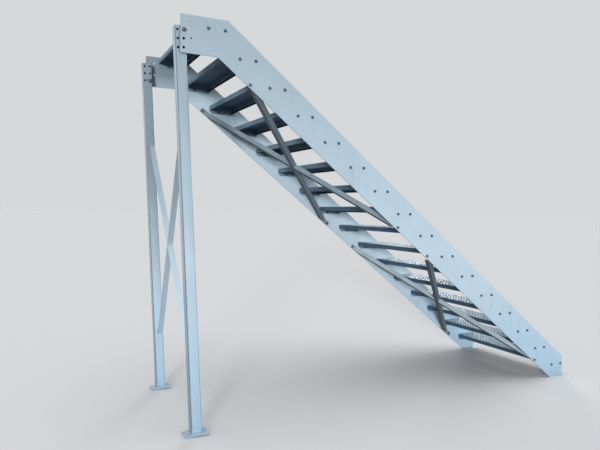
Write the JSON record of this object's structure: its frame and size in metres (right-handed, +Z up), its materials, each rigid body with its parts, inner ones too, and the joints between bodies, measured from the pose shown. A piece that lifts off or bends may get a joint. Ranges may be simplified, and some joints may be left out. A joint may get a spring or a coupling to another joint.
{
  "type": "free-standing steel stair",
  "caption": "Straight free-standing steel stair: cranked plate stringers, bolted perforated treads, two leaning box legs at the head and cross braces.",
  "frame": {"origin": "on the ground under the middle of the stair's overall length and width", "axes": "+X along the flight, down it from the legs to the foot; +Y to the right of someone who climbs it; +Z up"},
  "size_m": [3.8582, 1.242, 2.895],
  "materials": {
    "paint": "semi-gloss, scuffed",
    "tread": "hot-dip galvanised, dull",
    "brace": "hot-dip galvanised, dull",
    "bolt": "zinc plated"
  },
  "bodies": {
    "root": {"stringer_left": "paint", "stringer_right": "paint", "foot_flange_left": "paint", "foot_flange_right": "paint", "leg_left": "paint", "leg_right": "paint", "base_plate_left": "paint", "base_plate_right": "paint", "leg_brace_through": "paint", "leg_brace_upper": "paint", "leg_brace_lower": "paint", "tread_01": "tread", "tread_02": "tread", "tread_03": "tread", "tread_04": "tread", "tread_05": "tread", "tread_06": "tread", "tread_07": "tread", "tread_08": "tread", "tread_09": "tread", "tread_10": "tread", "tread_11": "tread", "tread_12": "tread", "tread_13": "tread", "tread_14": "tread", "tread_15": "tread", "tread_16": "tread", "brace_1_through": "brace", "brace_1_upper": "brace", "brace_1_lower": "brace", "brace_2_through": "brace", "brace_2_upper": "brace", "brace_2_lower": "brace", "leg_bolt_left": "bolt", "leg_bolt_right": "bolt"}
  },
  "joints": []
}
